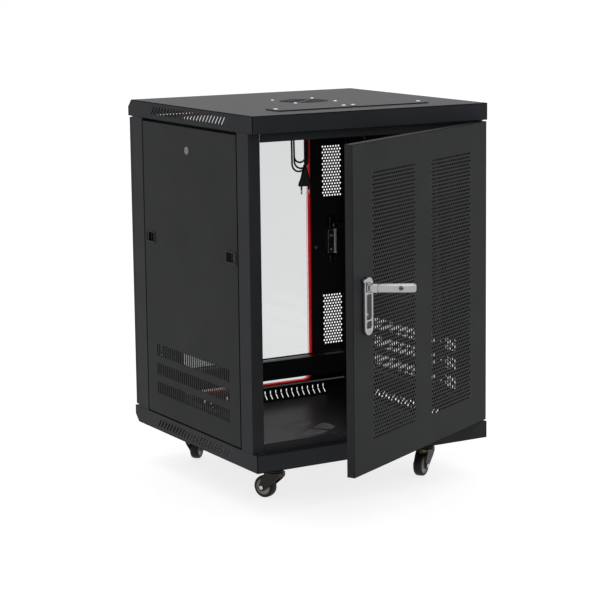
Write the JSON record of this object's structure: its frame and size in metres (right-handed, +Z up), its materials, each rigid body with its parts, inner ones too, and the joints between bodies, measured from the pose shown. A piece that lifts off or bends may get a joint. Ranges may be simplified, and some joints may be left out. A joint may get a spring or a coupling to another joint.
{
  "type": "network server rack cabinet",
  "caption": "Small black 19-inch network cabinet on swivel casters, with a perforated door ajar, a glass door opposite, removable side panels and a roof fan.",
  "frame": {"origin": "on the ground, at the middle of the footprint with the mesh door ajar", "axes": "+Z up, -Y towards the side with the perforated door, +X towards that door's hinges"},
  "size_m": [0.6004, 0.9394, 0.8613],
  "materials": {
    "frame_steel": "satin black powder coat",
    "panel_steel": "fine-textured black powder coat",
    "rail_steel": "satin black powder coat",
    "handle_zinc": "satin nickel plate on cast zinc",
    "lock_chrome": "bright chrome",
    "pin_steel": "bright steel",
    "black_plastic": "satin",
    "fan_plastic": "matte",
    "cord_black": "satin",
    "red_trim": "satin red",
    "door_glass": "clear, polished",
    "caster_steel": "black plated steel",
    "wheel_tread": "smooth black tread on a grey core"
  },
  "bodies": {
    "cabinet": {"top_cover": "frame_steel", "base_tray": "frame_steel", "post_front_left": "frame_steel", "rail_front_left": "rail_steel", "post_front_right": "frame_steel", "rail_front_right": "rail_steel", "post_rear_left": "frame_steel", "rail_rear_left": "rail_steel", "post_rear_right": "frame_steel", "rail_rear_right": "rail_steel", "brace_lower_left": "rail_steel", "brace_upper_left": "rail_steel", "brace_lower_right": "rail_steel", "brace_upper_right": "rail_steel", "rear_cross_beam": "rail_steel", "cable_plate_left": "frame_steel", "cable_plate_right": "frame_steel", "fan_housing": "fan_plastic", "fan_cord": "cord_black", "cord_hank": "cord_black", "cord_tail": "cord_black", "cord_plug": "cord_black", "caster_mount_front_left": "caster_steel", "caster_mount_front_right": "caster_steel", "caster_mount_rear_left": "caster_steel", "caster_mount_rear_right": "caster_steel"},
    "fan_rotor": {"fan_rotor": "fan_plastic"},
    "mesh_door": {"mesh_door_shell": "panel_steel", "mesh_door_pin_lower": "pin_steel", "mesh_door_pin_upper": "pin_steel", "mesh_door_handle_plate": "handle_zinc"},
    "mesh_door_hub": {"mesh_door_handle_hub": "handle_zinc"},
    "mesh_door_lever": {"mesh_door_handle_lever": "handle_zinc"},
    "mesh_door_lock": {"mesh_door_lock_cylinder": "lock_chrome"},
    "glass_door": {"glass_door_frame": "panel_steel", "glass_door_trim": "red_trim", "glass_door_pane": "door_glass", "glass_door_pin_lower": "pin_steel", "glass_door_pin_upper": "pin_steel", "glass_door_handle_plate": "black_plastic"},
    "glass_door_hub": {"glass_door_handle_hub": "black_plastic"},
    "glass_door_lever": {"glass_door_handle_lever": "black_plastic"},
    "glass_door_lock": {"glass_door_lock_cylinder": "lock_chrome"},
    "side_panel_left": {"side_panel_left": "panel_steel"},
    "side_lock_left": {"side_lock_left": "lock_chrome"},
    "side_latch_front_left": {"side_latch_front_left": "black_plastic"},
    "side_latch_rear_left": {"side_latch_rear_left": "black_plastic"},
    "side_panel_right": {"side_panel_right": "panel_steel"},
    "side_lock_right": {"side_lock_right": "lock_chrome"},
    "side_latch_front_right": {"side_latch_front_right": "black_plastic"},
    "side_latch_rear_right": {"side_latch_rear_right": "black_plastic"},
    "caster_fork_front_left": {"caster_fork_front_left": "caster_steel"},
    "caster_wheel_front_left": {"caster_wheel_front_left": "wheel_tread"},
    "caster_fork_front_right": {"caster_fork_front_right": "caster_steel"},
    "caster_wheel_front_right": {"caster_wheel_front_right": "wheel_tread"},
    "caster_fork_rear_left": {"caster_fork_rear_left": "caster_steel"},
    "caster_wheel_rear_left": {"caster_wheel_rear_left": "wheel_tread"},
    "caster_fork_rear_right": {"caster_fork_rear_right": "caster_steel"},
    "caster_wheel_rear_right": {"caster_wheel_rear_right": "wheel_tread"}
  },
  "joints": [
    {"name": "fan_spin", "type": "hinge", "parent": "cabinet", "child": "fan_rotor", "pos_m": [-0.0002, 0.14725, 0.8372], "axis": [0, 0, 1], "continuous": true},
    {"name": "mesh_door_hinge", "type": "hinge", "parent": "cabinet", "child": "mesh_door", "pos_m": [0.2918, -0.14375, 0.4755], "axis": [0, 0, 1], "range_deg": [-28, 152]},
    {"name": "mesh_door_handle_swing", "type": "hinge", "parent": "mesh_door", "child": "mesh_door_hub", "pos_m": [-0.18012, -0.4043, 0.522], "axis": [0.4695, -0.8829, 0], "range_deg": [-90, 0]},
    {"name": "mesh_door_lever_lift", "type": "hinge", "parent": "mesh_door_hub", "child": "mesh_door_lever", "pos_m": [-0.17238, -0.41887, 0.522], "axis": [0, 0, -1], "range_deg": [-60, 15]},
    {"name": "mesh_door_lock_turn", "type": "hinge", "parent": "mesh_door_lever", "child": "mesh_door_lock", "pos_m": [-0.12404, -0.44908, 0.522], "axis": [-0.5299, -0.848, 0], "range_deg": [0, 90]},
    {"name": "glass_door_hinge", "type": "hinge", "parent": "cabinet", "child": "glass_door", "pos_m": [-0.2922, 0.43825, 0.4755], "axis": [0, 0, 1], "range_deg": [0, 180]},
    {"name": "glass_door_handle_swing", "type": "hinge", "parent": "glass_door", "child": "glass_door_hub", "pos_m": [0.2468, 0.44675, 0.522], "axis": [0, 1, 0], "range_deg": [0, 90]},
    {"name": "glass_door_lever_lift", "type": "hinge", "parent": "glass_door_hub", "child": "glass_door_lever", "pos_m": [0.2468, 0.46325, 0.522], "axis": [1, 0, 0], "range_deg": [0, 75]},
    {"name": "glass_door_lock_turn", "type": "hinge", "parent": "glass_door_lever", "child": "glass_door_lock", "pos_m": [0.2468, 0.46325, 0.465], "axis": [0, 1, 0], "range_deg": [0, 90]},
    {"name": "side_panel_left_slide", "type": "slide", "parent": "cabinet", "child": "side_panel_left", "axis": [-1, 0, 0], "range_m": [0, 0.04]},
    {"name": "side_lock_left_turn", "type": "hinge", "parent": "side_panel_left", "child": "side_lock_left", "pos_m": [-0.2997, 0.15225, 0.762], "axis": [-1, 0, 0], "range_deg": [0, 90]},
    {"name": "side_latch_front_left_slide", "type": "slide", "parent": "side_panel_left", "child": "side_latch_front_left", "axis": [0, 1, 0], "range_m": [0, 0.008]},
    {"name": "side_latch_rear_left_slide", "type": "slide", "parent": "side_panel_left", "child": "side_latch_rear_left", "axis": [0, -1, 0], "range_m": [0, 0.008]},
    {"name": "side_panel_right_slide", "type": "slide", "parent": "cabinet", "child": "side_panel_right", "axis": [1, 0, 0], "range_m": [0, 0.04]},
    {"name": "side_lock_right_turn", "type": "hinge", "parent": "side_panel_right", "child": "side_lock_right", "pos_m": [0.2993, 0.15225, 0.762], "axis": [1, 0, 0], "range_deg": [0, 90]},
    {"name": "side_latch_front_right_slide", "type": "slide", "parent": "side_panel_right", "child": "side_latch_front_right", "axis": [0, 1, 0], "range_m": [0, 0.008]},
    {"name": "side_latch_rear_right_slide", "type": "slide", "parent": "side_panel_right", "child": "side_latch_rear_right", "axis": [0, -1, 0], "range_m": [0, 0.008]},
    {"name": "caster_front_left_swivel", "type": "hinge", "parent": "cabinet", "child": "caster_fork_front_left", "pos_m": [-0.2002, -0.05075, 0.062], "axis": [0, 0, 1], "continuous": true},
    {"name": "caster_front_left_roll", "type": "hinge", "parent": "caster_fork_front_left", "child": "caster_wheel_front_left", "pos_m": [-0.21201, -0.02759, 0.025], "axis": [0.891, 0.454, 0], "continuous": true},
    {"name": "caster_front_right_swivel", "type": "hinge", "parent": "cabinet", "child": "caster_fork_front_right", "pos_m": [0.1998, -0.05075, 0.062], "axis": [0, 0, 1], "continuous": true},
    {"name": "caster_front_right_roll", "type": "hinge", "parent": "caster_fork_front_right", "child": "caster_wheel_front_right", "pos_m": [0.17775, -0.06453, 0.025], "axis": [-0.5299, 0.848, 0], "continuous": true},
    {"name": "caster_rear_left_swivel", "type": "hinge", "parent": "cabinet", "child": "caster_fork_rear_left", "pos_m": [-0.2002, 0.34525, 0.062], "axis": [0, 0, 1], "continuous": true},
    {"name": "caster_rear_left_roll", "type": "hinge", "parent": "caster_fork_rear_left", "child": "caster_wheel_rear_left", "pos_m": [-0.1815, 0.36331, 0.025], "axis": [0.6947, -0.7193, 0], "continuous": true},
    {"name": "caster_rear_right_swivel", "type": "hinge", "parent": "cabinet", "child": "caster_fork_rear_right", "pos_m": [0.1998, 0.34525, 0.062], "axis": [0, 0, 1], "continuous": true},
    {"name": "caster_rear_right_roll", "type": "hinge", "parent": "caster_fork_rear_right", "child": "caster_wheel_rear_right", "pos_m": [0.20431, 0.31964, 0.025], "axis": [-0.9848, -0.1736, 0], "continuous": true}
  ]
}
